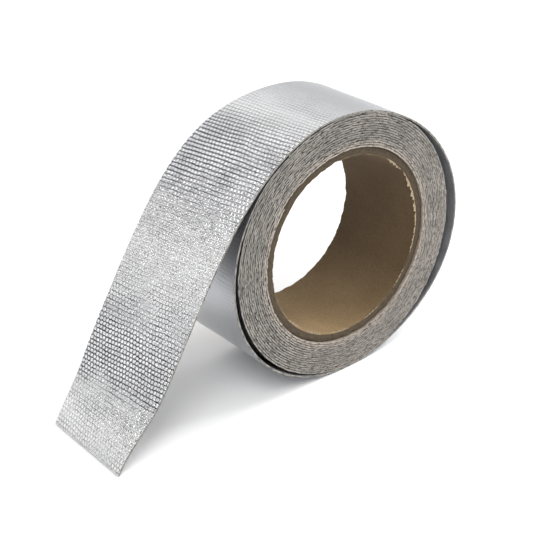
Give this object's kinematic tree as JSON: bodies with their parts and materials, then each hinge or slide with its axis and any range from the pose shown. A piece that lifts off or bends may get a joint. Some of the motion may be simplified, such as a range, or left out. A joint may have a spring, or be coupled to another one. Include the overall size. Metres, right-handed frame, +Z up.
{
  "type": "foil-faced glass-cloth tape roll",
  "caption": "Roll of foil-faced glass-cloth heat tape on a card core, lying on its rim with its loose end hanging to the floor.",
  "frame": {"origin": "middle of the box's footprint, on the floor", "axes": "+X along the longest extent, away from the hanging end; Y along the roll's axis; +Z up"},
  "size_m": [0.1926, 0.05, 0.123],
  "materials": {
    "tape_foil": "bright foil pressed onto woven cloth",
    "core_card": "matt"
  },
  "bodies": {
    "root": {"tape": "tape_foil", "core_tube": "core_card"}
  },
  "joints": []
}
